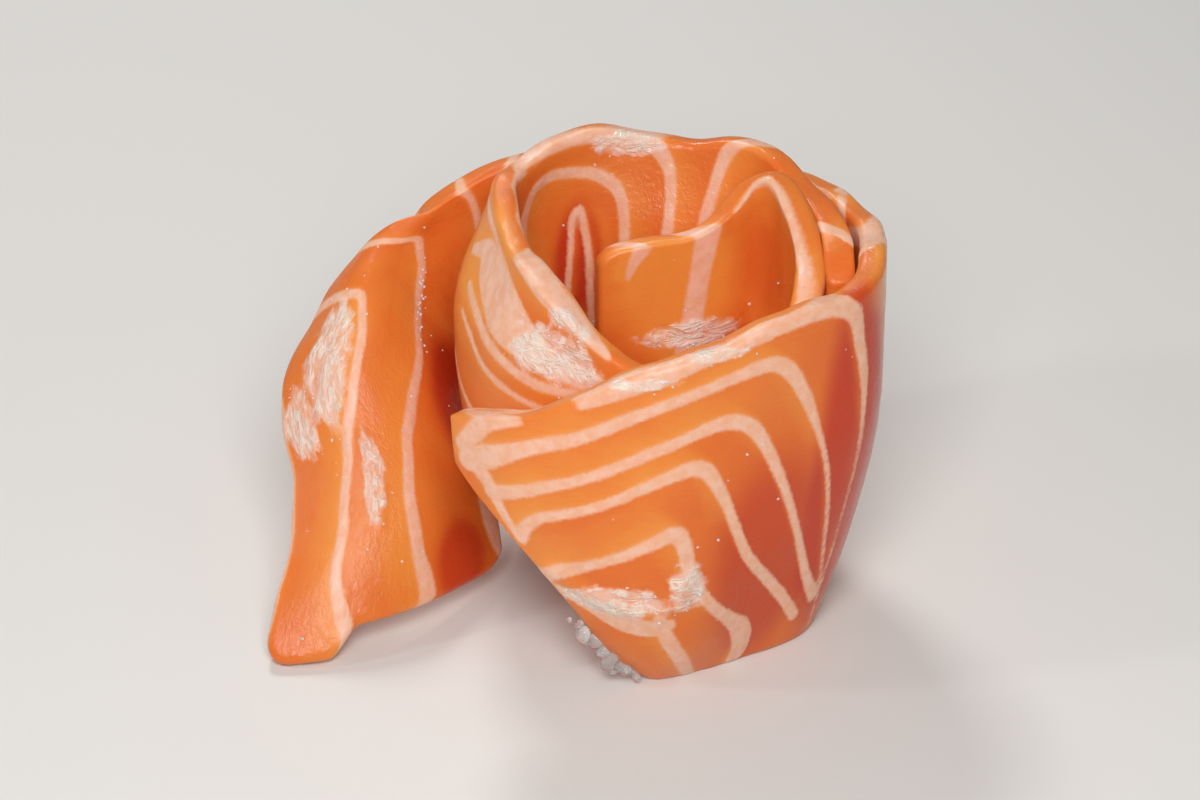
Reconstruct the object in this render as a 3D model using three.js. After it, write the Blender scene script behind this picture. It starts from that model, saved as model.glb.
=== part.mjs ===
// Salmon sashimi: three thin raw slices. Two are rolled on edge into an open rose, one inside
// the other, and the third is draped from the back of the rose down to its lower left.
// Millimetres, +X right, +Y away from the side that is looked at, +Z up. The origin is at the
// middle of the foot.

import * as THREE from 'three';

// Thickness of each slice, the rounding of its cut edges and the steps of that rounding
const CORE_THICKNESS = 3.6;
const WRAP_THICKNESS = 3.8;
const DRAPE_THICKNESS = 3.4;
const EDGE_ROUND = 1.0;
const EDGE_STEPS = 2;

// Rounding of a slice's corners. The near end of the draped slice runs on into a tab, TAB_LENGTH
// longer, which starts between the two distances from the inner margin.
const CORNER_ROUND = 4;
const TAB_LENGTH = 3.2;
const TAB_START = { from: 24, to: 28.5 };

// The rose opens upwards: its turns lie round RIM_AXIS at the rim and, drawn in by PINCH, round
// FOOT_AXIS at the foot. Above PINCH_TOP nothing is drawn in, and turns near the axis move less.
const RIM_AXIS = { x: 13, y: 31 };
const FOOT_AXIS = { x: 12.8, y: 21.5 };
const RIM_LEVEL = 53;
const PINCH = 11;
const PINCH_TOP = 36;
const PINCH_POWER = 1.6;
const PINCH_SOFTNESS = 8;
const MOST_RISE = 1.2;

// A wall's rim curls over its top CURL_DEPTH, and its belly is fullest in the lower third
const CURL_DEPTH = 16;
const CURL_POWER = 1.3;
const BELLY_POWER = 2.5;

// The cut margins of raw slices run unevenly: two waves, as height and length in mm
const MARGIN_WAVES = [
  { height: 0.4, length: 23, start: 0.8 },
  { height: 0.13, length: 9, start: 2.1 },
];

// Height of the slices that stand on edge, at their fullest, and width of the draped one
const CORE_HEIGHT = 46;
const WRAP_HEIGHT = 53;
const DRAPE_WIDTH = 38;

// Mesh steps along and across a slice, the samples that smooth a route, the half length of
// route that gives a wall its heading, and the share of a slice that gives its normal
const CORE_STEP = { along: 2.5, across: 4.4 };
const WRAP_STEP = { along: 3.0, across: 4.4 };
const DRAPE_STEP = { along: 3.2, across: 3.2 };
const ROUTE_SAMPLES = 900;
const HEADING_REACH = 0.5;
const NORMAL_REACH = 0.001;

// Middle of the whole in plan, which becomes the origin
const PLAN_MIDDLE = { x: 0.08, y: 30.78 };

// Flesh colours, warmest inside the rose, and the shine of wet flesh
const CORE_COLOUR = 0xee7a3c;
const WRAP_COLOUR = 0xe6874a;
const DRAPE_COLOUR = 0xd9793f;
const WET_ROUGHNESS = 0.35;

// Route of the inner slice, from its tip in the middle outwards through a turn and a half. Each
// station: x, y, height of the rim, height of the foot, curl of the rim (outwards is positive).
const CORE_ROUTE = [
  [3.0, 36.0, 49.0, 24, 0],
  [19.5, 40.3, 52.0, 24, 0],
  [24.8, 43.2, 55.8, 24, 0],
  [28.4, 42.2, 56.8, 24, 0],
  [31.4, 37.0, 55.0, 24, 0],
  [32.8, 28.5, 51.5, 22, 0],
  [30.0, 19.0, 47.5, 18, 0],
  [20.5, 12.4, 45.0, 10, 0],
  [8.5, 10.3, 46.5, 2, -0.5],
  [-5.0, 16.3, 52.8, 8, -4],
  [-12.6, 24.5, 54.2, 16, -6],
  [-15.6, 36.0, 55.2, 17, -6],
  [-13.5, 45.0, 56.3, 13, -4],
  [-6.0, 51.8, 57.0, 4, -1.5],
  [3.0, 53.8, 57.5, 0, 1.5],
  [18.0, 51.2, 56.6, 0, 2.5],
  [26.0, 49.5, 57.2, 14, 1.5],
  [32.1, 44.5, 55.6, 30, 0],
  [36.1, 36.5, 53.5, 32, 0],
  [37.0, 26.5, 51.2, 34, 0],
];

// Route of the outer slice, from its free end at the front left, past the front and the right
// side, to the back. Each station: x, y, height of the rim, height of the foot, belly of the
// wall, and how far the foot is drawn along the route.
const WRAP_ROUTE = [
  [-16.4, 12.8, 38.6, 32.5, 0, 0.5],
  [-9.5, 7.3, 41.8, 23.5, 0, 1],
  [-4.0, 5.0, 44.3, 15, 0.5, 1.5],
  [2.0, 4.0, 47.0, 4.8, 2, 2.5],
  [7.5, 3.9, 49.2, 0.9, 3.2, 2.5],
  [13.0, 4.5, 51.2, 0, 3.5, 2],
  [23.2, 7.8, 53.5, 0, 1, 0],
  [32.2, 12.7, 54.4, 0, 0, -3],
  [39.3, 19.3, 54.5, 0, 0, -3],
  [41.5, 29.0, 54.0, 0, 0, 0],
  [40.8, 37.8, 54.0, 0, 0, 0],
  [30.5, 53.0, 52.0, 0, 0, 0],
  [20.0, 59.0, 50.0, 0, 0, 0],
  [-2.0, 66.3, 44.0, 10, 0, 0],
];

// Margins of the draped slice, from its lower left end up to the end behind the rose. Each
// station: outer margin x, y, z, inner margin x, y, z, and the bulge of the sheet between.
const DRAPE_ROUTE = [
  [-44.0, 3.5, 0.2, -11.0, 25.0, 0.3, 1.5, -6.0, 0.4],
  [-41.4, 13.5, 8.6, -12.0, 28.5, 6.5, 0.5, -5.5, 4.0],
  [-39.7, 25.0, 18.0, -13.8, 32.5, 11.0, 0, -5.0, 6.5],
  [-41.3, 36.0, 26.5, -16.3, 37.2, 16.0, -1.0, -5.0, 9.0],
  [-35.7, 44.0, 34.5, -17.0, 42.5, 19.5, -2.0, -4.0, 9.0],
  [-28.0, 50.0, 41.5, -15.5, 46.5, 20.5, -4.0, -2.0, 7.0],
  [-19.5, 55.5, 46.8, -12.5, 49.5, 20.0, -4.0, 0.5, 4.0],
  [-10.8, 59.0, 50.2, -7.0, 51.7, 19.0, -1.5, 1.5, 0],
  [-1.0, 59.8, 53.0, -1.0, 52.0, 18.0, 0, 1.0, 0],
];

// One smooth pass from p1 to p2, a centripetal Catmull-Rom span, at share t of the span
function spanValue(p0, p1, p2, p3, gap0, gap1, gap2, t) {
  const slope1 = ((p1 - p0) / gap0 - (p2 - p0) / (gap0 + gap1) + (p2 - p1) / gap1) * gap1;
  const slope2 = ((p2 - p1) / gap1 - (p3 - p1) / (gap1 + gap2) + (p3 - p2) / gap2) * gap1;
  const square = (3 * (p2 - p1) - 2 * slope1 - slope2) * t * t;
  const cube = (2 * (p1 - p2) + slope1 + slope2) * t * t * t;
  return p1 + slope1 * t + square + cube;
}

// Stations made into a smooth route, read by the share of its length in plan
class Route {
  constructor(stations) {
    const gaps = stations.slice(1).map((row, i) => Math.sqrt(planGap(stations[i], row)));
    const total = gaps.reduce((sum, gap) => sum + gap, 0);
    this.samples = [];
    for (let k = 0; k <= ROUTE_SAMPLES; k += 1) {
      this.samples.push(stationsAt(stations, gaps, (total * k) / ROUTE_SAMPLES));
    }
    this.reached = [0];
    for (let k = 1; k <= ROUTE_SAMPLES; k += 1) {
      this.reached.push(this.reached[k - 1] + planGap(this.samples[k - 1], this.samples[k]));
    }
    this.length = this.reached[ROUTE_SAMPLES];
  }

  at(share) {
    const goal = THREE.MathUtils.clamp(share, 0, 1) * this.length;
    let low = 0;
    let high = ROUTE_SAMPLES;
    while (high - low > 1) {
      const middle = (low + high) >> 1;
      if (this.reached[middle] <= goal) low = middle;
      else high = middle;
    }
    const t = (goal - this.reached[low]) / (this.reached[high] - this.reached[low]);
    return this.samples[low].map((value, c) => value + (this.samples[high][c] - value) * t);
  }
}

function planGap(a, b) {
  return Math.hypot(b[0] - a[0], b[1] - a[1]);
}

function stationsAt(stations, gaps, goal) {
  let span = 0;
  let start = 0;
  while (span < gaps.length - 1 && start + gaps[span] <= goal) {
    start += gaps[span];
    span += 1;
  }
  const last = gaps.length - 1;
  const t = (goal - start) / gaps[span];
  const [p1, p2] = [stations[span], stations[span + 1]];
  const p0 = span > 0 ? stations[span - 1] : p1.map((value, c) => 2 * value - p2[c]);
  const p3 = span < last ? stations[span + 2] : p2.map((value, c) => 2 * value - p1[c]);
  const before = span > 0 ? gaps[span - 1] : gaps[span];
  const after = span < last ? gaps[span + 1] : gaps[span];
  return p1.map((value, c) => spanValue(p0[c], value, p2[c], p3[c], before, gaps[span], after, t));
}

// Draws a point of an upright turn of the rose in towards the foot
function pinched(x, y, z) {
  const rise = THREE.MathUtils.clamp(z / RIM_LEVEL, 0, MOST_RISE);
  const axisX = THREE.MathUtils.lerp(FOOT_AXIS.x, RIM_AXIS.x, rise);
  const axisY = THREE.MathUtils.lerp(FOOT_AXIS.y, RIM_AXIS.y, rise);
  const depth = THREE.MathUtils.clamp(1 - z / PINCH_TOP, 0, MOST_RISE);
  const reach = Math.hypot(x - RIM_AXIS.x, y - RIM_AXIS.y);
  const kept = 1 - (PINCH * depth ** PINCH_POWER) / (reach + PINCH_SOFTNESS);
  return new THREE.Vector3(axisX + (x - RIM_AXIS.x) * kept, axisY + (y - RIM_AXIS.y) * kept, z);
}

function marginWave(distance) {
  return MARGIN_WAVES.reduce(
    (sum, wave) => sum + wave.height * Math.sin((2 * Math.PI * distance) / wave.length + wave.start),
    0,
  );
}

// A slice that stands on edge along a route: u runs along it, v from its foot to its rim.
// outwards is 1 where the outer face lies right of the way the route runs, and -1 otherwise.
function wallSurface(route, outwards, readStation) {
  return (u, v) => {
    const { rim, foot, curl, belly, drawn } = readStation(route.at(u));
    const top = rim + marginWave(u * route.length);
    const z = foot + (top - foot) * v;
    const share = u + (drawn * (1 - v)) / route.length;
    const reach = HEADING_REACH / route.length;
    const [before, here, after] = [share - reach, share, share + reach].map((s) => route.at(s));
    const along = new THREE.Vector2(after[0] - before[0], after[1] - before[1]).normalize();
    const nearRim = THREE.MathUtils.smoothstep(z, top - CURL_DEPTH, top) ** CURL_POWER;
    const fullness = Math.sin(Math.PI * (1 - THREE.MathUtils.clamp(v, 0, 1)) ** BELLY_POWER);
    const bend = (curl * nearRim + belly * fullness) * outwards;
    return pinched(here[0] + along.y * bend, here[1] - along.x * bend, z);
  };
}

// A slice spread between two margins: u runs along them, v from the inner to the outer margin
function drapedSurface(route) {
  return (u, v) => {
    const station = route.at(u);
    const [outer, inner, bulge] = [0, 3, 6].map((c) => new THREE.Vector3(...station.slice(c, c + 3)));
    outer.x -= marginWave(u * route.length);
    return inner.lerp(outer, v).addScaledVector(bulge, Math.sin(Math.PI * v));
  };
}

function normalAt(surface, u, v) {
  const near = (value) => [Math.max(value - NORMAL_REACH, 0), Math.min(value + NORMAL_REACH, 1)];
  const [u0, u1] = near(u);
  const [v0, v1] = near(v);
  const along = surface(u1, v).sub(surface(u0, v));
  const across = surface(u, v1).sub(surface(u, v0));
  return along.cross(across).normalize();
}

// The border of a grid as a closed row of [i, j] steps
function borderSteps(countU, countV) {
  const border = [];
  for (let i = 0; i < countU; i += 1) border.push([i, 0]);
  for (let j = 0; j < countV; j += 1) border.push([countU, j]);
  for (let i = countU; i > 0; i -= 1) border.push([i, countV]);
  for (let j = countV; j > 0; j -= 1) border.push([0, j]);
  return border;
}

// A closed slice of even thickness about a surface, as points and triangles. What would reach
// below the foot, at height 0, is cut flat there.
class SliceMesh {
  constructor(surface, size, step, trimAt) {
    this.surface = surface;
    this.size = size;
    this.trimAt = trimAt;
    this.countU = Math.round(size.along / step.along);
    this.countV = Math.round(size.across / step.across);
    this.positions = [];
    this.triangles = [];
  }

  // Step i along and j across, inset from the cut edge all round and offset from the surface
  addPoint(i, j, inset, offset) {
    const { along, across } = this.size;
    const s = inset + (i / this.countU) * (along - 2 * inset);
    const t = inset + (j / this.countV) * (across - 2 * inset);
    const place = roundedCorners(s, t, this.size, inset);
    const trimmed = place.s + this.trimAt(place.t) * (1 - place.s / along);
    const [u, v] = [trimmed / along, place.t / across];
    const normal = normalAt(this.surface, u, v);
    const point = this.surface(u, v).addScaledVector(normal, offset);
    this.positions.push(point.x - PLAN_MIDDLE.x, point.y - PLAN_MIDDLE.y, Math.max(point.z, 0));
    return this.positions.length / 3 - 1;
  }

  addQuad(a, b, c, d) {
    this.triangles.push(a, b, c, a, c, d);
  }

  addFace(offset, flipped) {
    const grid = [];
    for (let i = 0; i <= this.countU; i += 1) {
      grid.push([]);
      for (let j = 0; j <= this.countV; j += 1) grid[i].push(this.addPoint(i, j, EDGE_ROUND, offset));
    }
    for (let i = 0; i < this.countU; i += 1) {
      for (let j = 0; j < this.countV; j += 1) {
        const [a, b, c, d] = [grid[i][j], grid[i + 1][j], grid[i + 1][j + 1], grid[i][j + 1]];
        if (flipped) this.addQuad(a, d, c, b);
        else this.addQuad(a, b, c, d);
      }
    }
    return grid;
  }

  // The cut edge all round, rounded towards both faces
  addEdge(front, back, half) {
    const border = borderSteps(this.countU, this.countV);
    const rings = [border.map(([i, j]) => front[i][j])];
    for (const { inset, offset } of edgeProfile(half)) {
      rings.push(border.map(([i, j]) => this.addPoint(i, j, inset, offset)));
    }
    rings.push(border.map(([i, j]) => back[i][j]));
    for (let r = 0; r + 1 < rings.length; r += 1) {
      for (let k = 0; k < border.length; k += 1) {
        const next = (k + 1) % border.length;
        this.addQuad(rings[r][next], rings[r][k], rings[r + 1][k], rings[r + 1][next]);
      }
    }
  }

  geometry() {
    const geometry = new THREE.BufferGeometry();
    geometry.setAttribute('position', new THREE.Float32BufferAttribute(this.positions, 3));
    geometry.setIndex(this.triangles);
    geometry.computeVertexNormals();
    return geometry;
  }
}

// Steps round a cut edge, from the front face to the back face
function edgeProfile(half) {
  const front = [];
  for (let k = 1; k <= EDGE_STEPS; k += 1) {
    const turn = (Math.PI / 2) * (k / EDGE_STEPS);
    const inset = EDGE_ROUND * (1 - Math.sin(turn));
    front.push({ inset, offset: half - EDGE_ROUND * (1 - Math.cos(turn)) });
  }
  const back = front.map(({ inset, offset }) => ({ inset, offset: -offset }));
  return [...front, ...back.reverse()];
}

// Moves a point of a rectangle, inset from its border, into the same one with rounded corners
function roundedCorners(s, t, { along, across }, inset) {
  const radius = CORNER_ROUND - inset;
  const [fromS, fromT] = [s < along / 2 ? s : along - s, t < across / 2 ? t : across - t];
  const x = Math.max(CORNER_ROUND - fromS, 0) / radius;
  const y = Math.max(CORNER_ROUND - fromT, 0) / radius;
  const inS = radius * x * (1 - Math.sqrt(1 - (y * y) / 2));
  const inT = radius * y * (1 - Math.sqrt(1 - (x * x) / 2));
  return { s: s < along / 2 ? s + inS : s - inS, t: t < across / 2 ? t + inT : t - inT };
}

const untrimmed = () => 0;

// How far the near end of the draped slice stops short, beside its tab
function besideTab(t) {
  return TAB_LENGTH * (1 - THREE.MathUtils.smoothstep(t, TAB_START.from, TAB_START.to));
}

function sliceGeometry(surface, size, thickness, step, trimAt = untrimmed) {
  const mesh = new SliceMesh(surface, size, step, trimAt);
  const half = thickness / 2;
  const front = mesh.addFace(half, false);
  const back = mesh.addFace(-half, true);
  mesh.addEdge(front, back, half);
  return mesh.geometry();
}

function rawSalmon(colour) {
  return new THREE.MeshStandardMaterial({ color: colour, roughness: WET_ROUGHNESS, metalness: 0 });
}

function makeSlice(name, geometry, colour) {
  const slice = new THREE.Mesh(geometry, rawSalmon(colour));
  slice.name = name;
  return slice;
}

function makeCoreSlice() {
  const route = new Route(CORE_ROUTE);
  const read = ([, , rim, foot, curl]) => ({ rim, foot, curl, belly: 0, drawn: 0 });
  const size = { along: route.length, across: CORE_HEIGHT };
  const geometry = sliceGeometry(wallSurface(route, -1, read), size, CORE_THICKNESS, CORE_STEP);
  return makeSlice('core_slice', geometry, CORE_COLOUR);
}

function makeWrapSlice() {
  const route = new Route(WRAP_ROUTE);
  const read = ([, , rim, foot, belly, drawn]) => ({ rim, foot, curl: 0, belly, drawn });
  const size = { along: route.length, across: WRAP_HEIGHT };
  const geometry = sliceGeometry(wallSurface(route, 1, read), size, WRAP_THICKNESS, WRAP_STEP);
  return makeSlice('wrap_slice', geometry, WRAP_COLOUR);
}

function makeDrapedSlice() {
  const route = new Route(DRAPE_ROUTE);
  const size = { along: route.length, across: DRAPE_WIDTH };
  const surface = drapedSurface(route);
  const geometry = sliceGeometry(surface, size, DRAPE_THICKNESS, DRAPE_STEP, besideTab);
  return makeSlice('draped_slice', geometry, DRAPE_COLOUR);
}

const sashimi = new THREE.Group();
sashimi.name = 'salmon_sashimi';
sashimi.add(makeCoreSlice(), makeWrapSlice(), makeDrapedSlice());

export default sashimi;
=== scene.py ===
"""Salmon sashimi: three thin raw slices, two of them rolled on edge into an open rose and one
draped down its left side. Each slice is laid out flat in millimetres, with its fat lines where
the knife met them, and is then bent along its route over the frame."""
import math

import bmesh
import bpy
import numpy as np
from mathutils import Matrix, Vector


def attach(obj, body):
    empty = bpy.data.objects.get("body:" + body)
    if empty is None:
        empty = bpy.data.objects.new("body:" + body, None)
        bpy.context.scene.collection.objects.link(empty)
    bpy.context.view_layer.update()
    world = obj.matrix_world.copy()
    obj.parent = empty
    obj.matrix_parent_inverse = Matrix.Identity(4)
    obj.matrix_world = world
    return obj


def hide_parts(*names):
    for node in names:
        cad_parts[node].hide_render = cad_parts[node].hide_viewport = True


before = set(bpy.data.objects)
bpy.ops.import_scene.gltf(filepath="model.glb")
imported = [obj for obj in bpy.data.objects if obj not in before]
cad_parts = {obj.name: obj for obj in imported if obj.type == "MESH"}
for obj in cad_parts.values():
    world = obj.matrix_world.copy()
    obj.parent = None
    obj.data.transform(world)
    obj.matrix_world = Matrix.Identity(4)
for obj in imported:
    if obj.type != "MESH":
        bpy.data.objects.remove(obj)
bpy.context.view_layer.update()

MM = 0.001

# Thickness of each slice, rounding of its cut edges and the fine mesh over it, in mm
CORE_THICKNESS = 3.6
WRAP_THICKNESS = 3.8
DRAPE_THICKNESS = 3.4
EDGE_ROUND = 1.1
EDGE_STEPS = 5
MESH_STEP = 0.48

# Rounding of a slice's corners. The near end of the draped slice runs on into a tab, TAB_LENGTH
# longer, which starts between the two distances from the inner margin.
CORNER_ROUND = 4.0
TAB_LENGTH = 3.2
TAB_START = (24.0, 28.5)

# Fullest height of the slices on edge, and width of the draped one, in mm
CORE_HEIGHT = 46.0
WRAP_HEIGHT = 53.0
DRAPE_WIDTH = 38.0

# The rose opens upwards: its turns lie round RIM_AXIS at the rim and, drawn in by PINCH, round
# FOOT_AXIS at the foot. Above PINCH_TOP nothing is drawn in, and turns near the axis move less.
RIM_AXIS = (13.0, 31.0)
FOOT_AXIS = (12.8, 21.5)
RIM_LEVEL = 53.0
PINCH = 11.0
PINCH_TOP = 36.0
PINCH_POWER = 1.6
PINCH_SOFTNESS = 8.0
MOST_RISE = 1.2

# A wall's rim curls over its top CURL_DEPTH, and its belly is fullest in the lower third
CURL_DEPTH = 16.0
CURL_POWER = 1.3
BELLY_POWER = 2.5

# The cut margins run unevenly: waves as height, length in mm and start
MARGIN_WAVES = [(0.4, 23.0, 0.8), (0.13, 9.0, 2.1)]

# Samples that smooth a route, half the length of route that gives a wall its heading, and the
# share of a slice that gives its normal
ROUTE_SAMPLES = 900
HEADING_REACH = 0.5
NORMAL_REACH = 0.001

# Rounds that find the place on a wall that is so far along its route and so high
SPOT_ROUNDS = 5

# Middle of the whole in plan, which is the origin
PLAN_MIDDLE = (0.08, 30.78)

# Inner slice, from its tip in the middle outwards. Each station: x, y, rim, foot, curl
CORE_ROUTE = [
    (3.0, 36.0, 49.0, 24, 0),
    (19.5, 40.3, 52.0, 24, 0),
    (24.8, 43.2, 55.8, 24, 0),
    (28.4, 42.2, 56.8, 24, 0),
    (31.4, 37.0, 55.0, 24, 0),
    (32.8, 28.5, 51.5, 22, 0),
    (30.0, 19.0, 47.5, 18, 0),
    (20.5, 12.4, 45.0, 10, 0),
    (8.5, 10.3, 46.5, 2, -0.5),
    (-5.0, 16.3, 52.8, 8, -4),
    (-12.6, 24.5, 54.2, 16, -6),
    (-15.6, 36.0, 55.2, 17, -6),
    (-13.5, 45.0, 56.3, 13, -4),
    (-6.0, 51.8, 57.0, 4, -1.5),
    (3.0, 53.8, 57.5, 0, 1.5),
    (18.0, 51.2, 56.6, 0, 2.5),
    (26.0, 49.5, 57.2, 14, 1.5),
    (32.1, 44.5, 55.6, 30, 0),
    (36.1, 36.5, 53.5, 32, 0),
    (37.0, 26.5, 51.2, 34, 0),
]

# Outer slice, from its free end at the front left to the back. Each station: x, y, rim, foot,
# belly, and how far the foot is drawn along the route
WRAP_ROUTE = [
    (-16.4, 12.8, 38.6, 32.5, 0, 0.5),
    (-9.5, 7.3, 41.8, 23.5, 0, 1),
    (-4.0, 5.0, 44.3, 15, 0.5, 1.5),
    (2.0, 4.0, 47.0, 4.8, 2, 2.5),
    (7.5, 3.9, 49.2, 0.9, 3.2, 2.5),
    (13.0, 4.5, 51.2, 0, 3.5, 2),
    (23.2, 7.8, 53.5, 0, 1, 0),
    (32.2, 12.7, 54.4, 0, 0, -3),
    (39.3, 19.3, 54.5, 0, 0, -3),
    (41.5, 29.0, 54.0, 0, 0, 0),
    (40.8, 37.8, 54.0, 0, 0, 0),
    (30.5, 53.0, 52.0, 0, 0, 0),
    (20.0, 59.0, 50.0, 0, 0, 0),
    (-2.0, 66.3, 44.0, 10, 0, 0),
]

# Draped slice, from its lower left end up to the end behind the rose. Each station: outer
# margin x, y, z, inner margin x, y, z, and the bulge of the sheet between
DRAPE_ROUTE = [
    (-44.0, 3.5, 0.2, -11.0, 25.0, 0.3, 1.5, -6.0, 0.4),
    (-41.4, 13.5, 8.6, -12.0, 28.5, 6.5, 0.5, -5.5, 4.0),
    (-39.7, 25.0, 18.0, -13.8, 32.5, 11.0, 0, -5.0, 6.5),
    (-41.3, 36.0, 26.5, -16.3, 37.2, 16.0, -1.0, -5.0, 9.0),
    (-35.7, 44.0, 34.5, -17.0, 42.5, 19.5, -2.0, -4.0, 9.0),
    (-28.0, 50.0, 41.5, -15.5, 46.5, 20.5, -4.0, -2.0, 7.0),
    (-19.5, 55.5, 46.8, -12.5, 49.5, 20.0, -4.0, 0.5, 4.0),
    (-10.8, 59.0, 50.2, -7.0, 51.7, 19.0, -1.5, 1.5, 0),
    (-1.0, 59.8, 53.0, -1.0, 52.0, 18.0, 0, 1.0, 0),
]

# Fat lines, where they meet a face of the slice. Each station: mm along the route, height in mm
# (on the draped slice: mm from its inner margin), and half the line's width
CORE_PETAL_FAT = [
    [(6.2, 49.6, 1.2), (5, 47.6, 0.8), (4.2, 45.5, 0.4)],
    [(16, 52.8, 1.7), (15.5, 50, 1.7), (14.6, 45, 1.5), (13.8, 40, 1.5), (12.8, 34, 1.6),
     (11.5, 24, 1.6)],
]
CORE_RIM_FAT = [
    [(19.5, 52.9, 0.3), (21.5, 54.3, 0.45), (23, 55.4, 0.55), (24.5, 56.3, 0.7), (26, 56.9, 0.85),
     (29, 56.2, 0.9), (32, 54.9, 0.9), (35, 53.8, 0.85), (38, 52.6, 0.75), (41, 51.9, 0.65),
     (44, 51.6, 0.6), (47, 50.6, 0.55), (50, 49.5, 0.5), (56, 46.8, 0.4)],
    [(103, 53.3, 0.3), (109, 54.2, 0.45), (115, 55.1, 0.6), (121, 55.8, 0.7), (128, 56.1, 0.8)],
]
CORE_INNER_FAT = [
    [(131.6, 30, 0.8), (130.9, 36, 0.7), (130.3, 43.5, 0.7), (129.9, 48.5, 0.8), (131.2, 52, 0.9),
     (135, 52.8, 0.8), (139.5, 52.1, 0.8), (143.5, 50.9, 0.9), (146.1, 48.6, 0.9), (147, 45, 0.8),
     (147.1, 40.7, 0.8), (147, 30, 0.8), (147, 16, 0.8)],
    [(138.2, 34, 0.5), (138.7, 41, 0.5), (139, 45.6, 0.6), (140, 46.8, 0.6), (141, 43.3, 0.6),
     (141.6, 39, 0.6), (141.9, 26, 0.5)],
    [(126, 56.2, 0.7), (129, 56.8, 0.9), (139.5, 57.2, 1.1), (146, 56.6, 1.3), (150.5, 55.7, 1.3),
     (152.6, 53.6, 1.1), (153.5, 50.5, 0.8), (153.6, 46, 0.8), (153.2, 40, 0.8), (152.5, 24, 0.8),
     (152, 10, 0.8)],
    [(163.9, 58.4, 1.4), (162.3, 56.3, 1.1), (161, 53.4, 0.9), (160, 50, 0.8), (159, 46.5, 0.8),
     (158.2, 40, 0.8), (158.5, 14, 0.8)],
    [(172.6, 50, 0.6), (172, 46, 0.9), (171, 38, 0.9), (171, 28, 0.9)],
    [(184, 54, 1.2), (182, 46, 1), (181, 38, 0.9), (181, 31, 0.9)],
]
CORE_OUTER_FAT = [
    [(115.5, 48.5, 0.8), (112.5, 49.8, 1.4), (108.5, 49.3, 2.3), (103.5, 48.4, 3.1),
     (99, 47.3, 3.3), (95, 45.9, 2.6), (91, 44.6, 1.9), (86, 43.4, 1.5), (80, 43, 1.2)],
    [(100, 54.2, 0.7), (96, 53.9, 1.3), (92, 53.2, 1.9), (88, 51.7, 1.9), (84, 50.1, 1.5),
     (79.5, 47.9, 0.9)],
    [(111, 45.6, 0.4), (107.5, 44.9, 0.5), (102.5, 43.6, 0.6), (98, 42.6, 0.6), (93, 41.4, 0.6),
     (89.5, 40.9, 0.6), (84, 41, 0.5), (78, 42, 0.4)],
    [(109, 42.9, 0.3), (103.5, 41.4, 0.4), (99.5, 40, 0.45), (95, 38.9, 0.45), (90, 38.2, 0.4),
     (84, 38, 0.4)],
    [(69.5, 46.5, 1), (69.8, 38, 0.9), (69, 26, 0.9), (70, 12, 0.8)],
    [(111.5, 36, 0.8), (101, 31, 0.9), (90, 29, 0.9), (79, 31, 0.8)],
    [(116, 27, 0.8), (105, 22, 0.8), (92, 19, 0.8), (80, 20, 0.8)],
]
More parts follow.
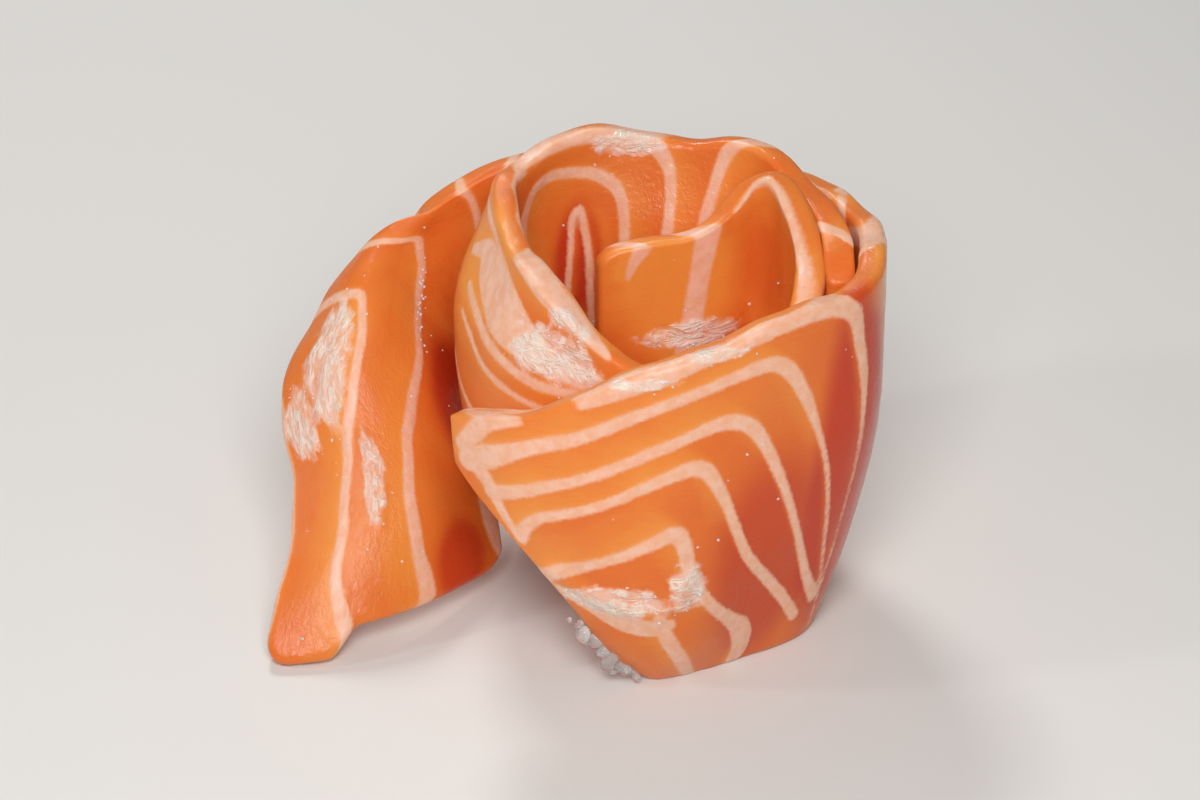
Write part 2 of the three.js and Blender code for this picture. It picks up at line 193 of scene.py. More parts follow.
WRAP_OUTER_FAT = [
    [(20, 45.4, 0.6), (24, 46.9, 0.9), (30, 49.2, 1.2), (36, 51.4, 1.3), (42, 52.8, 1.3),
     (49, 54, 1.3), (55.5, 53.8, 1.4), (58.8, 51.8, 1.3), (59.9, 47.5, 1), (60.7, 43, 0.8),
     (61, 38, 0.5), (61, 30, 0.3), (60.6, 24, 0.2), (60.3, 16.4, 0.2), (60.6, 9.7, 0.2),
     (62, 2, 0.2)],
    [(3.5, 33.6, 1.5), (6, 34.9, 1.7), (10.3, 37.1, 1.3), (14.7, 39.1, 1.05), (19.8, 40.7, 0.95),
     (26.3, 43.5, 0.9), (32.7, 45.8, 0.8), (39.6, 47.7, 0.85), (43.5, 48.5, 1), (46.4, 48.4, 1.1),
     (48.6, 46.6, 1.1), (51.1, 42.2, 0.9), (53.3, 36.6, 0.55), (55.6, 29.6, 0.4), (57.1, 22, 0.35),
     (58.7, 14.5, 0.3), (61, 7, 0.3)],
    [(7.2, 30.4, 1.1), (10.6, 31.4, 1), (15.6, 33.3, 0.85), (20.2, 34.9, 0.75), (25.2, 36.8, 0.75),
     (29.5, 38.7, 0.8), (33.9, 40.3, 0.8), (37.3, 41.4, 0.95), (40.1, 41.6, 1.1),
     (42.7, 40.3, 1.1), (44.8, 37.2, 0.95), (46.8, 33, 0.8), (49.6, 26.5, 0.65), (52.4, 20, 0.65),
     (56.2, 12.8, 0.8), (59.6, 8, 1)],
    [(5.2, 33.6, 1.6), (6.9, 31.8, 1.2), (8.3, 28.8, 0.9), (10.6, 24.6, 0.6)],
    [(11.2, 24.4, 1), (12.3, 26.6, 0.9), (14.5, 28.4, 0.8), (17.6, 29.5, 0.75), (20.5, 30.5, 0.7),
     (23.9, 31.8, 0.7), (27.8, 33.6, 0.75), (31.2, 35, 0.85), (34.2, 35.9, 1.05),
     (36.2, 35.4, 1.1), (37.6, 33.2, 0.95), (39.2, 29.8, 0.8), (40.9, 25.2, 0.8), (43, 20.6, 0.85),
     (47.2, 15.6, 0.9), (52, 10.6, 0.95), (56.6, 5.8, 0.9)],
    [(13.4, 18.6, 1.3), (16, 20.2, 1.1), (20.9, 22, 0.75), (26.3, 24.3, 0.8), (30.1, 26.1, 0.95),
     (32.2, 26.9, 1.1), (33.2, 24.6, 1.05), (33.6, 21.6, 0.9), (34.6, 18.6, 0.85),
     (37.2, 14.2, 0.9), (41, 10.4, 1.2), (44.2, 7.2, 2), (45.6, 3.6, 2), (44.8, 0, 1.6)],
    [(16, 17, 0.8), (19, 16.2, 1.3), (22.3, 14.6, 1.7), (26, 13, 1.8), (28.8, 12.4, 1.5),
     (31, 13, 1)],
    [(30, 14.2, 0.8), (31, 10.4, 1), (33, 6, 1.1), (35.8, 0, 1.1)],
    [(2.6, 35.6, 1), (5, 38.2, 1.4), (7, 40.4, 1.3), (9.2, 41.2, 0.9), (12, 41.9, 0.4)],
    [(75.4, 55.4, 1.6), (74.4, 50, 1.2), (73, 42, 1), (72, 30, 0.9), (72.2, 16, 0.9),
     (73.8, 2, 0.9)],
    [(91.3, 54.5, 1.2), (88.3, 44, 1), (85.3, 32, 0.9), (84.8, 18, 0.9), (86.3, 3, 0.9)],
    [(101.8, 53.5, 1.1), (99.3, 44, 0.9), (96.3, 33, 0.9), (95.8, 20, 0.9), (97.3, 4, 0.9)],
    [(104.3, 52.5, 0.8), (106.8, 45, 0.9), (109.4, 37, 1.1), (109, 26, 0.9), (108.3, 14, 0.9),
     (108.8, 2, 0.9)],
    [(134.6, 40.5, 0.8), (126.8, 42, 0.9), (119.3, 43, 1.1), (116.8, 38.5, 1), (117.6, 26, 0.9),
     (117.8, 14, 0.9), (118.8, 2, 0.9)],
    [(134.8, 31, 0.8), (128.8, 31.5, 0.9), (125.3, 28.5, 1), (125.3, 18, 0.9), (127.3, 6, 0.9)],
]
WRAP_INNER_FAT = [
    [(74.2, 53.6, 1.2), (77.8, 52.4, 1.3), (81.8, 50.8, 1.2), (85.8, 48.4, 0.9),
     (88.8, 45.4, 0.7)],
    [(82.3, 54.3, 0.7), (86.8, 54, 1), (92.3, 53.6, 1), (95.8, 52.6, 0.6)],
]
DRAPE_FAT = [
    [(39, 39.2, 0.8), (41.8, 36.6, 0.8), (43, 32.5, 0.8), (43.8, 28, 0.8), (44.2, 24.6, 0.8),
     (41.6, 23.1, 0.8), (36, 21.4, 0.8), (30.6, 22.5, 0.8), (25, 25.5, 0.8), (20, 27.2, 0.8),
     (14, 28, 0.85), (9.5, 28.5, 0.9), (6, 27.6, 1), (3, 26.3, 1.1), (-1, 25, 1.1)],
    [(50.2, 39.2, 0.8), (52.6, 32.6, 0.8), (55.1, 29.5, 0.8), (58.2, 27.2, 0.8), (58.2, 23.5, 0.8),
     (57, 18.5, 0.8), (53.1, 14.4, 0.8), (45.1, 11.5, 0.75), (37.6, 10.6, 0.75),
     (31.6, 11.9, 0.85), (25.1, 14.9, 0.9), (19.6, 16.4, 0.95), (14.5, 16.3, 1), (10, 15.4, 1),
     (6, 14.1, 1.2), (3, 14, 1.3), (-1, 15.5, 1)],
    [(62.2, 39.2, 0.8), (65.2, 37.6, 0.7), (67, 34.4, 0.6), (68.4, 30, 0.6), (68.8, 24, 0.6),
     (66, 12, 0.6), (63, -1, 0.6)],
    [(71, 39.2, 0.6), (73.6, 37.6, 0.6), (75.2, 35, 0.6), (76, 24, 0.6), (75, 10, 0.6)],
]
DRAPE_MARGIN_FAT = [
    [(27, 0.6, 0.8), (20.5, 1.4, 1.7), (14, 1.4, 2.2), (9, 0.8, 1.9), (4, 0, 1)],
    [(30, 38.5, 1.8), (28.4, 37.6, 1.3), (25.5, 37.8, 0.8), (21, 37.7, 0.7), (14, 37.6, 0.6),
     (7, 37.7, 0.5), (2, 38.2, 0.5)],
]

# Fat sheets lie aslant in the flesh: mm that a line moves along and across, for each mm of depth
CORE_SLANT = (1.0, -0.25)
PETAL_SLANT = (-1.1, 0.0)
RIM_SLANT = (0.0, -0.6)
WRAP_SLANT = (-1.05, 1.05)
DRAPE_SLANT = (-0.35, 1.3)
MARGIN_SLANT = (0.0, 0.0)

# Points of a fat line are LINE_STEP apart, and it is looked for within LINE_REACH; FAR is further
# than any. The mesh keeps the gap to the nearest fat up to FAT_GAP_MOST. All in mm.
LINE_STEP = 1.0
LINE_REACH = 6.0
FAR = 1000.0
FAT_GAP_MOST = 4.0

# Fat below the skin still shows through: most depth, steps to it, the depth that halves it and the
# blur of its sides, in mm
GLOW_DEPTH = 3.6
GLOW_STEPS = 9
GLOW_HALVED = 1.7
GLOW_EDGE = 0.9

# Relief in mm: broad waves of the whole slice, uneven thickness, fat standing proud, fine grain
SWAY = {"height": 0.28, "size": 13.0}
UNEVEN = {"height": 0.16, "size": 7.0}
FAT_RIDGE = {"height": 0.08, "width": 0.9, "fade": 0.2}
GRAIN = {"height": 0.03, "size": 1.5}

# Torn, wet patches have raised fibres: their height, length, width and lean (how far they climb
# across the slice for each mm along it), and the share of rough specks among them
TORN = {"height": 0.17, "length": 3.6, "width": 1.05, "lean": -0.5, "specks": 0.6}
# Where a patch fades out, as shares of its reach
PATCH_FADE = (0.45, 1.0)
# Middle of each patch (mm along the route, height or mm from the inner margin) and its reach
CORE_OUTER_TORN = [(88.0, 45.0, 11.0, 4.6), (86.0, 50.0, 6.0, 2.6)]
CORE_INNER_TORN = [(147.0, 55.6, 8.0, 2.6), (13.5, 36.0, 10.5, 2.8)]
WRAP_TORN = [
    (24.0, 16.5, 10.5, 3.6),
    (33.5, 18.5, 3.6, 5.6),
    (28.0, 48.4, 7.0, 1.3),
    (38.0, 51.4, 7.0, 1.3),
]
DRAPE_TORN = [(35.0, 27.8, 11.5, 6.5), (27.5, 33.5, 6.0, 5.0), (20.0, 22.3, 9.0, 2.8)]

# Paler patches of flesh, and redder patches that paint shade in hollows and on sides turned from the
# light: middle and reach of each, as for the torn ones, and its tone, from -1 for deep red painted
# shade to 1 for pale orange
CORE_OUTER_TONES = [(110.0, 50.0, 16.0, 9.0, 0.8)]
# Painted shade: deep red in the hollow beside the petal and on the petal's turn
CORE_INNER_SHADES_AND_TONES = [
    (139.8, 39.0, 5.0, 11.0, -1.0),
    (27.0, 44.0, 7.0, 9.0, -0.3),
    (11.0, 44.0, 12.0, 13.0, 0.85),
]
# Painted shade: deep red down the right side and low on the front of the outer slice
WRAP_SHADES_AND_TONES = [
    (60.5, 30.0, 9.0, 36.0, -1.0),
    (47.0, 18.0, 14.0, 24.0, -0.7),
    (69.0, 53.0, 9.0, 6.0, 0.7),
]
# Painted shade: deep red along the inner margin, where the sheet turns down, and near its lower end
DRAPE_SHADES_AND_TONES = [
    (42.0, 2.0, 20.0, 9.0, -0.9),
    (7.0, 8.0, 9.0, 6.0, -0.8),
    (28.0, 22.0, 30.0, 16.0, 0.25),
]

# Fold low on the free end of the outer slice: mm along the route, height in mm and half its width,
# then how far it stands proud and the reach of its flanks
FRONT_FOLD = [(14.5, 20.5, 0.1), (18.5, 18.6, 0.2), (22.3, 16.8, 0.3), (26.3, 15.4, 0.3),
              (29.3, 14.8, 0.3), (32.0, 16.5, 0.2), (33.2, 20.0, 0.1)]
FOLD_RISE = 0.5
FOLD_REACH = 2.2

# At the right the petal's turn and the end of the inner slice press on each other, so both are a
# little thicker: where it comes and goes along the turn, where it comes at the end, between which
# heights it comes, and growth of the half thickness, in mm
PRESSED = {
    "turn": (27.0, 33.0, 48.0, 54.0),
    "end": (172.0, 178.0),
    "above": (40.0, 46.0),
    "growth": 0.25,
}

# The band at the left of the rose is cut thicker towards its rim: middle and spread along the
# slice, the heights between which it grows, and growth of the half thickness, in mm
BAND_RIM = {"middle": 90.0, "spread": 9.0, "from": 47.0, "to": 52.0, "growth": 0.6}

# Beads of melting ice that cling to the lower margin of the outer slice's free end: x, y, z in the
# frame and radius, in mm
MELT_BEADS = [
    (-0.9, -31.2, 11.2, 0.35),
    (0.5, -30.9, 10.2, 0.8),
    (1.0, -31.2, 8.8, 1.1),
    (1.6, -31.3, 7.4, 0.45),
    (2.7, -30.8, 7.3, 1.0),
    (3.5, -31.1, 5.5, 0.65),
    (4.0, -30.7, 5.4, 1.1),
    (4.8, -31.1, 4.1, 1.4),
    (5.2, -31.3, 2.3, 0.5),
    (6.0, -30.7, 3.2, 1.0),
    (6.9, -31.1, 2.6, 0.9),
    (7.8, -30.7, 2.2, 0.75),
    (8.5, -30.8, 1.0, 0.6),
]

# Least and most share of a bead's radius along each of its own axes
BEAD_SQUASH = (0.75, 1.25)

# Fine droplets: how many anywhere on each slice, in each of its torn patches and in its rows, the
# rows from end to end on the draped slice, how far they stray from a row, and their radii in mm
FINE_DROPLETS = 26
PATCH_DROPLETS = 12
ROW_DROPLETS = 16
DRAPE_ROWS = [((58.6, 21.0), (54.0, 13.6)), ((54.0, 13.6), (42.0, 9.6))]
ROW_STRAY = 0.45
DROPLET_RADIUS = (0.10, 0.26)
# Spread of a patch's droplets as a share of its reach, and the shares of a slice that droplets
# keep to
PATCH_SPREAD = 0.5
DROPLET_RANGE = (0.03, 0.97)

# Camera: height angle in degrees, distance in metres, lens and sensor in mm, the point looked at
# and the nearest that is seen
VIEW_ELEVATION = 33.0
VIEW_DISTANCE = 0.62
VIEW_LENS = 130.2
SENSOR_WIDTH = 36.0
VIEW_POINT = (0.00336, 0.00050, 0.02702)
VIEW_NEAR = 0.01

# Where the lamps point, the light from all round, and half the side of the floor, in metres
LAMP_TARGET = (0.0, 0.0, 0.03)
WORLD_LIGHT = 0.14
FLOOR_REACH = 3.0

# Colours of flesh, its deep red painted shade, fat, torn fibres with their painted pale sheen, melt
# water and floor, as linear red, green and blue
SHADE_RED = (0.58, 0.050, 0.012)
FLESH_DEEP = (0.78, 0.170, 0.025)
FLESH_LIGHT = (0.88, 0.310, 0.055)
FAT_PALE = (0.90, 0.540, 0.390)
FAT_ROSY = (0.87, 0.450, 0.280)
TORN_AND_SHEEN_PALE = (1.00, 0.880, 0.790)
WATER_COLOUR = (0.97, 0.960, 0.950)
FLOOR_COLOUR = (0.78, 0.76, 0.73)

# Sides of a fat line, in mm: how far they wander, how deep their fine teeth are, and from where to
# where the skin turns from fat to flesh
SIDE_WANDER = 0.6
SIDE_TEETH = 0.45
SIDE_TURN = (-0.34, 0.30)

# Flesh turns pale between two values of its clouds with a share of its stretched fibres. Fat that
# shines through keeps it from turning red and, where it is strongest, tints it.
FIBRES = {"scale": (0.25, 2.2, 1.0), "share": 0.35}
MOTTLE = {"turn": (0.45, 0.95), "most": 0.32}
GLOW_CLEARS = (0.3, 0.8)
GLOW_TINT = {"turn": (0.6, 1.0), "most": 0.55}

# Torn skin: how ragged its border is and where it turns torn, the threads in it, and how pale the
# threads and all of it get, which paints a wet sheen over the pale torn fibres
TORN_BORDER = {"ragged": 0.6, "turn": (0.65, 1.35)}
THREADS = {"scale": (0.26, 0.62, 1.0), "crest": (0.38, 0.50)}
THREAD_SHEEN_HAZE = 0.36
TORN_SHEEN_HAZE = 0.45

# Fine relief of the skin: its depth in mm, its strength, and what torn skin adds to that
SKIN_RELIEF = {"depth": 0.5, "strength": 0.32, "torn": 0.25}
SKIN_ROUGHNESS = 0.42
TORN_ROUGHNESS = 0.16


class Route:
    """Stations made into a smooth route, read by the share of its length in plan."""

    def __init__(self, stations):
        rows = np.array(stations, float)
        gaps = np.sqrt(np.linalg.norm(np.diff(rows[:, :2], axis=0), axis=1))
        knots = np.concatenate([[0], np.cumsum(gaps)])
        goals = np.linspace(0, knots[-1], ROUTE_SAMPLES + 1)
        self.samples = catmull_rom(rows, knots, goals)
        steps = np.linalg.norm(np.diff(self.samples[:, :2], axis=0), axis=1)
        self.reached = np.concatenate([[0], np.cumsum(steps)])
        self.length = self.reached[-1]

    def at(self, share):
        goal = np.clip(share, 0, 1) * self.length
        columns = [np.interp(goal, self.reached, column) for column in self.samples.T]
        return np.stack(columns, -1)


def catmull_rom(rows, knots, goals):
    """Centripetal Catmull-Rom through rows, read at goals, which are measured as the knots are."""
    last = len(rows) - 2
    i = np.clip(np.searchsorted(knots, goals, side="right") - 1, 0, last)
    first, second = rows[i], rows[i + 1]
    inside_start, inside_end = (i > 0)[:, None], (i < last)[:, None]
    before = np.where(inside_start, rows[np.maximum(i - 1, 0)], 2 * first - second)
    after = np.where(inside_end, rows[np.minimum(i + 2, last + 1)], 2 * second - first)
    spans = np.diff(knots)
    gap = spans[i][:, None]
    gap_before = np.where(inside_start, spans[np.maximum(i - 1, 0)][:, None], gap)
    gap_after = np.where(inside_end, spans[np.minimum(i + 1, last)][:, None], gap)
    chord = (second - first) / gap
    slope_first = ((first - before) / gap_before - (second - before) / (gap_before + gap) + chord) * gap
    slope_second = (chord - (after - first) / (gap + gap_after) + (after - second) / gap_after) * gap
    t = (goals - knots[i])[:, None] / gap
    square = 3 * (second - first) - 2 * slope_first - slope_second
    cube = 2 * (first - second) + slope_first + slope_second
    return first + slope_first * t + square * t**2 + cube * t**3


def smoothstep(value, low, high):
    t = np.clip((value - low) / (high - low), 0, 1)
    return t * t * (3 - 2 * t)


def margin_wave(distance):
    turns = 2 * math.pi * distance
    return sum(height * np.sin(turns / length + start) for height, length, start in MARGIN_WAVES)


def pinched(x, y, z):
    """Points of an upright turn of the rose, drawn in towards the foot."""
    rise = np.clip(z / RIM_LEVEL, 0, MOST_RISE)
    axis_x = FOOT_AXIS[0] + (RIM_AXIS[0] - FOOT_AXIS[0]) * rise
    axis_y = FOOT_AXIS[1] + (RIM_AXIS[1] - FOOT_AXIS[1]) * rise
    depth = np.clip(1 - z / PINCH_TOP, 0, MOST_RISE)
    reach = np.hypot(x - RIM_AXIS[0], y - RIM_AXIS[1])
    kept = 1 - PINCH * depth**PINCH_POWER / (reach + PINCH_SOFTNESS)
    return np.stack([axis_x + (x - RIM_AXIS[0]) * kept, axis_y + (y - RIM_AXIS[1]) * kept, z], -1)


class Wall:
    """A slice on edge along a route: u runs along it, v from its foot to its rim.

    shape_at reads from a station how far the rim curls, how full the belly is and how far the
    foot is drawn along the route, in mm. outwards is the sign of the side that faces outwards."""

    def __init__(self, stations, height, outwards, shape_at):
        self.route = Route(stations)
        self.size = (self.route.length, height)
        self.outwards = outwards
        self.shape_at = shape_at

    def level(self, u, v):
        """Height of the rim at u, and height at v, both in mm."""
        station = self.route.at(u)
        top = station[..., 2] + margin_wave(u * self.route.length)
        foot = station[..., 3]
        return top, foot + (top - foot) * v

    def laid(self, u, v):
        """Where a point lies on the slice laid out: mm along its route, and its height in mm."""
        _, _, drawn = self.shape_at(self.route.at(u))
        return u * self.route.length + drawn * (1 - v), self.level(u, v)[1]

    def point(self, u, v):
        curl, belly, drawn = self.shape_at(self.route.at(u))
        top, z = self.level(u, v)
        share = u + drawn * (1 - v) / self.route.length
        reach = HEADING_REACH / self.route.length
        here = self.route.at(share)
        along = self.route.at(share + reach) - self.route.at(share - reach)
        stride = np.hypot(along[..., 0], along[..., 1])
        near_rim = smoothstep(z, top - CURL_DEPTH, top) ** CURL_POWER
        fullness = np.sin(math.pi * (1 - np.clip(v, 0, 1)) ** BELLY_POWER)
        bend = (curl * near_rim + belly * fullness) * self.outwards
        x = here[..., 0] + along[..., 1] / stride * bend
        y = here[..., 1] - along[..., 0] / stride * bend
        return pinched(x, y, z)

    def spot(self, along, height):
        """The share along and up the slice of a place on the slice laid out."""
        u = along / self.size[0]
        for _ in range(SPOT_ROUNDS):
            v = self.share_up(u, height)
            _, _, drawn = self.shape_at(self.route.at(u))
            u = (along - drawn * (1 - v)) / self.size[0]
        return u, v

    def share_up(self, u, height):
        """The share up the slice, at u, of a height in mm."""
        top, foot = self.level(u, 0)
        return (height - foot) / (top - foot)

    def trim(self, t):
        """Nothing, because a wall ends square."""
        return 0 * t


def core_shape(station):
    return station[..., 4], 0, 0


def wrap_shape(station):
    return 0, station[..., 4], station[..., 5]


class Drape:
    """A slice spread between two margins: u runs along them, v from the inner to the outer."""

    def __init__(self, stations, width):
        self.route = Route(stations)
        self.size = (self.route.length, width)

    def laid(self, u, v):
        """Where a point lies on the slice laid out: mm along it, mm from its inner margin."""
        return u * self.size[0], v * self.size[1]

    def point(self, u, v):
        station = self.route.at(u)
        outer, inner, bulge = station[..., 0:3], station[..., 3:6], station[..., 6:9]
        outer = outer - margin_wave(u * self.route.length)[..., None] * np.array([1, 0, 0])
        share = v[..., None]
        return inner + (outer - inner) * share + bulge * np.sin(math.pi * share)

    def spot(self, along, across):
        """The share along and across the slice of a place on the slice laid out."""
        return along / self.size[0], across / self.size[1]

    def trim(self, t):
        """How far the near end of the draped slice stops short, beside its tab."""
        return TAB_LENGTH * (1 - smoothstep(t, *TAB_START))


def normal_at(surface, u, v):
    """Normal of a surface, from points close by along it and across it."""
    u0, u1 = np.maximum(u - NORMAL_REACH, 0), np.minimum(u + NORMAL_REACH, 1)
    v0, v1 = np.maximum(v - NORMAL_REACH, 0), np.minimum(v + NORMAL_REACH, 1)
    along = surface.point(u1, v) - surface.point(u0, v)
    across = surface.point(u, v1) - surface.point(u, v0)
    normal = np.cross(along, across)
    return normal / np.linalg.norm(normal, axis=-1, keepdims=True)


class Noise:
    """Smooth seeded noise over a slice laid out, about -1 to 1."""

    LATTICE = 64

    def __init__(self, seed):
        self.values = np.random.default_rng(seed).uniform(-1, 1, (self.LATTICE, self.LATTICE))

    def at(self, along, across, length, width):
        """The noise at places laid out; its bumps are about length by width."""
        x, y = along / length, across / width
        i, j = np.floor(x).astype(int), np.floor(y).astype(int)
        s, t = smoothstep(x - i, 0, 1), smoothstep(y - j, 0, 1)
        low = self.value(i, j) * (1 - t) + self.value(i, j + 1) * t
        high = self.value(i + 1, j) * (1 - t) + self.value(i + 1, j + 1) * t
        return low * (1 - s) + high * s

    def value(self, i, j):
        return self.values[i % self.LATTICE, j % self.LATTICE]


def smooth_line(stations):
    """A line through the stations, with points about LINE_STEP apart."""
    rows = np.array(stations, float)
    gaps = np.linalg.norm(np.diff(rows[:, :2], axis=0), axis=1)
    knots = np.concatenate([[0], np.cumsum(np.sqrt(gaps))])
    count = max(int(gaps.sum() / LINE_STEP), 2)
    return catmull_rom(rows, knots, np.linspace(0, knots[-1], count + 1))


def line_gap(line, x, y):
    """Distance from points to a line of uneven width, negative inside it."""
    best = np.full(x.shape, FAR)
    for (x0, y0, half0), (x1, y1, half1) in zip(line[:-1], line[1:]):
        dx, dy = x1 - x0, y1 - y0
        t = np.clip(((x - x0) * dx + (y - y0) * dy) / (dx * dx + dy * dy), 0, 1)
        distance = np.hypot(x - x0 - dx * t, y - y0 - dy * t)
        best = np.minimum(best, distance - half0 - (half1 - half0) * t)
    return best


def in_patch(patch, along, across):
    """1 in the middle of a patch, fading to 0 at its reach."""
    middle_x, middle_y, reach_x, reach_y = patch
    distance = np.hypot((along - middle_x) / reach_x, (across - middle_y) / reach_y)
    return 1 - smoothstep(distance, *PATCH_FADE)


class FatPattern:
    """Fat lines of a slice: each sheet of fat meets a face along a line and runs in aslant."""

    def __init__(self, *groups):
        """Each group is a table of lines, the offset of the face they meet, and their slant."""
        self.lines = []
        for table, face, slant in groups:
            self.lines += [(smooth_line(stations), face, slant) for stations in table]

    def gap(self, along, across, offset):
        """Distance in mm from a point of the slice to the nearest fat, negative inside it."""
        nearest = np.full(along.shape, FAR)
        for line, face, slant in self.lines:
            depth = abs(face - offset)
            x, y = along - depth * slant[0], across - depth * slant[1]
            low, high = line.min(0) - LINE_REACH, line.max(0) + LINE_REACH
            near = (x > low[0]) & (x < high[0]) & (y > low[1]) & (y < high[1])
            if near.any():
                nearest[near] = np.minimum(nearest[near], line_gap(line, x[near], y[near]))
        return nearest

    def glow(self, along, across, offset):
        """How much of the fat below each point of the skin shows through the flesh."""
        face = np.where(offset >= 0, 1.0, -1.0)
        shown = np.zeros(along.shape)
        for depth in np.linspace(0, GLOW_DEPTH, GLOW_STEPS + 1)[1:]:
            gap = self.gap(along, across, offset - face * depth)
            strength = 0.5 ** (depth / GLOW_HALVED)
            shown = np.maximum(shown, strength * (1 - smoothstep(gap, -GLOW_EDGE, GLOW_EDGE)))
        return shown


class Slice:
    """A slice of even thickness about a surface, with its fat and the relief of raw flesh."""

    def __init__(self, surface, thickness, fat, seed):
        self.surface = surface
        self.half = thickness / 2
        self.fat = fat
        noises = [Noise(seed + k) for k in range(5)]
        self.sway, self.uneven, self.grain, self.fibres, self.specks = noises
        self.torn_patches = []
        self.shades_and_tones = []
        self.positions = []
        self.laid = []
        self.quads = []
        self.count = 0

    def mark(self, side, torn_patches, shades_and_tones):
        """Gives one face, 1 for the front or -1 for the back, its torn patches and its tones and shade.
        """
        self.torn_patches += [(*patch, side) for patch in torn_patches]
        self.shades_and_tones += [(*tone, side) for tone in shades_and_tones]

    def thicker(self, along, across, offset):
        """Extra half thickness, in mm, that only this slice has."""
        return 0

    def torn(self, along, across, offset):
        """How torn the skin is, 0 to 1, where the knife has dragged at the flesh."""
        most = np.zeros(along.shape)
        for *patch, side in self.torn_patches:
            inside = in_patch(patch, along, across)
            most = np.maximum(most, inside * (offset * side > 0))
        return most

    def tone(self, along, across, offset):
        """How deep red with painted shade (-1) or pale (1) the flesh is."""
        tone = np.zeros(along.shape)
        for *patch, strength, side in self.shades_and_tones:
            tone = tone + strength * in_patch(patch, along, across) * (offset * side > 0)
        return tone

    def relief(self, along, across, offset):
        """Growth of the half thickness in mm."""
        swell = UNEVEN["height"] * self.uneven.at(along, across, UNEVEN["size"], UNEVEN["size"])
        swell = swell + GRAIN["height"] * self.grain.at(along, across, GRAIN["size"], GRAIN["size"])
        gap = self.fat.gap(along, across, offset)
        ridge = 1 - smoothstep(gap, -FAT_RIDGE["width"], FAT_RIDGE["fade"])
        swell = swell + FAT_RIDGE["height"] * ridge
        climb = across - along * TORN["lean"]
        fibres = self.fibres.at(along, climb, TORN["length"], TORN["width"])
        specks = self.specks.at(along, across, TORN["width"], TORN["width"])
        roughness = fibres + TORN["specks"] * specks
        swell = swell + TORN["height"] * roughness * self.torn(along, across, offset)
        return swell + self.thicker(along, across, offset)

    def bend(self, u, v, offset):
        """Points at offset from the middle of the slice, with its relief."""
        along, across = self.surface.laid(u, v)
        middle = SWAY["height"] * self.sway.at(along, across, SWAY["size"], SWAY["size"])
        out = offset + middle + self.relief(along, across, offset) * offset / self.half
        return self.surface.point(u, v) + normal_at(self.surface, u, v) * out[..., None]

    def add_points(self, i, j, counts, inset, offset):
        """Adds points at steps i and j, inset from the border, and gives their numbers."""
        along, across = self.surface.size
        s = inset + i / counts[0] * (along - 2 * inset)
        t = inset + j / counts[1] * (across - 2 * inset)
        s, t = rounded_corners(s, t, self.surface.size, inset)
        s = s + self.surface.trim(t) * (1 - s / along)
        u, v = s / along, t / across
        offset = np.full(u.shape, float(offset))
        self.positions.append(self.bend(u, v, offset).reshape(-1, 3))
        self.laid.append(np.stack([*self.surface.laid(u, v), offset], -1).reshape(-1, 3))
        first = self.count
        self.count += u.size
        return first + np.arange(u.size).reshape(u.shape)

    def add_quads(self, a, b, c, d):
        self.quads.append(np.stack([a.ravel(), b.ravel(), c.ravel(), d.ravel()], -1))

    def build(self):
        counts = [round(side / MESH_STEP) for side in self.surface.size]
        i, j = np.meshgrid(np.arange(counts[0] + 1), np.arange(counts[1] + 1), indexing="ij")
        front = self.add_points(i, j, counts, EDGE_ROUND, self.half)
        back = self.add_points(i, j, counts, EDGE_ROUND, -self.half)
        self.add_quads(front[:-1, :-1], front[1:, :-1], front[1:, 1:], front[:-1, 1:])
        self.add_quads(back[:-1, :-1], back[:-1, 1:], back[1:, 1:], back[1:, :-1])
        border = border_steps(*counts)
        rings = [front[border[:, 0], border[:, 1]]]
        for inset, offset in edge_profile(self.half):
            rings.append(self.add_points(border[:, 0], border[:, 1], counts, inset, offset))
        rings.append(back[border[:, 0], border[:, 1]])
        for outer, inner in zip(rings[:-1], rings[1:]):
            self.add_quads(np.roll(outer, -1), outer, inner, np.roll(inner, -1))


def border_steps(count_u, count_v):
    """The border of a grid as a closed row of steps."""
    near = [(i, 0) for i in range(count_u)]
    right = [(count_u, j) for j in range(count_v)]
    far = [(i, count_v) for i in range(count_u, 0, -1)]
    left = [(0, j) for j in range(count_v, 0, -1)]
    return np.array(near + right + far + left)


def edge_profile(half):
    """Steps round a cut edge, from the front face to the back face."""
    front = []
    for k in range(1, EDGE_STEPS + 1):
        turn = math.pi / 2 * k / EDGE_STEPS
        front.append((EDGE_ROUND * (1 - math.sin(turn)), half - EDGE_ROUND * (1 - math.cos(turn))))
    back = [(inset, -offset) for inset, offset in reversed(front)]
    return front + back


def rounded_corners(s, t, size, inset):
    """Points of a rectangle, inset from its border, moved into the one with rounded corners."""
    along, across = size
    radius = CORNER_ROUND - inset
    x = np.maximum(CORNER_ROUND - np.minimum(s, along - s), 0) / radius
    y = np.maximum(CORNER_ROUND - np.minimum(t, across - t), 0) / radius
    in_s = radius * x * (1 - np.sqrt(1 - y * y / 2))
    in_t = radius * y * (1 - np.sqrt(1 - x * x / 2))
    return s + np.where(s < along / 2, in_s, -in_s), t + np.where(t < across / 2, in_t, -in_t)


def in_frame(points):
    """Points of the route's own plan, in mm, as points of the frame, in metres."""
    placed = points - np.array([*PLAN_MIDDLE, 0])
    placed[..., 2] = np.maximum(placed[..., 2], 0)
    return placed * MM


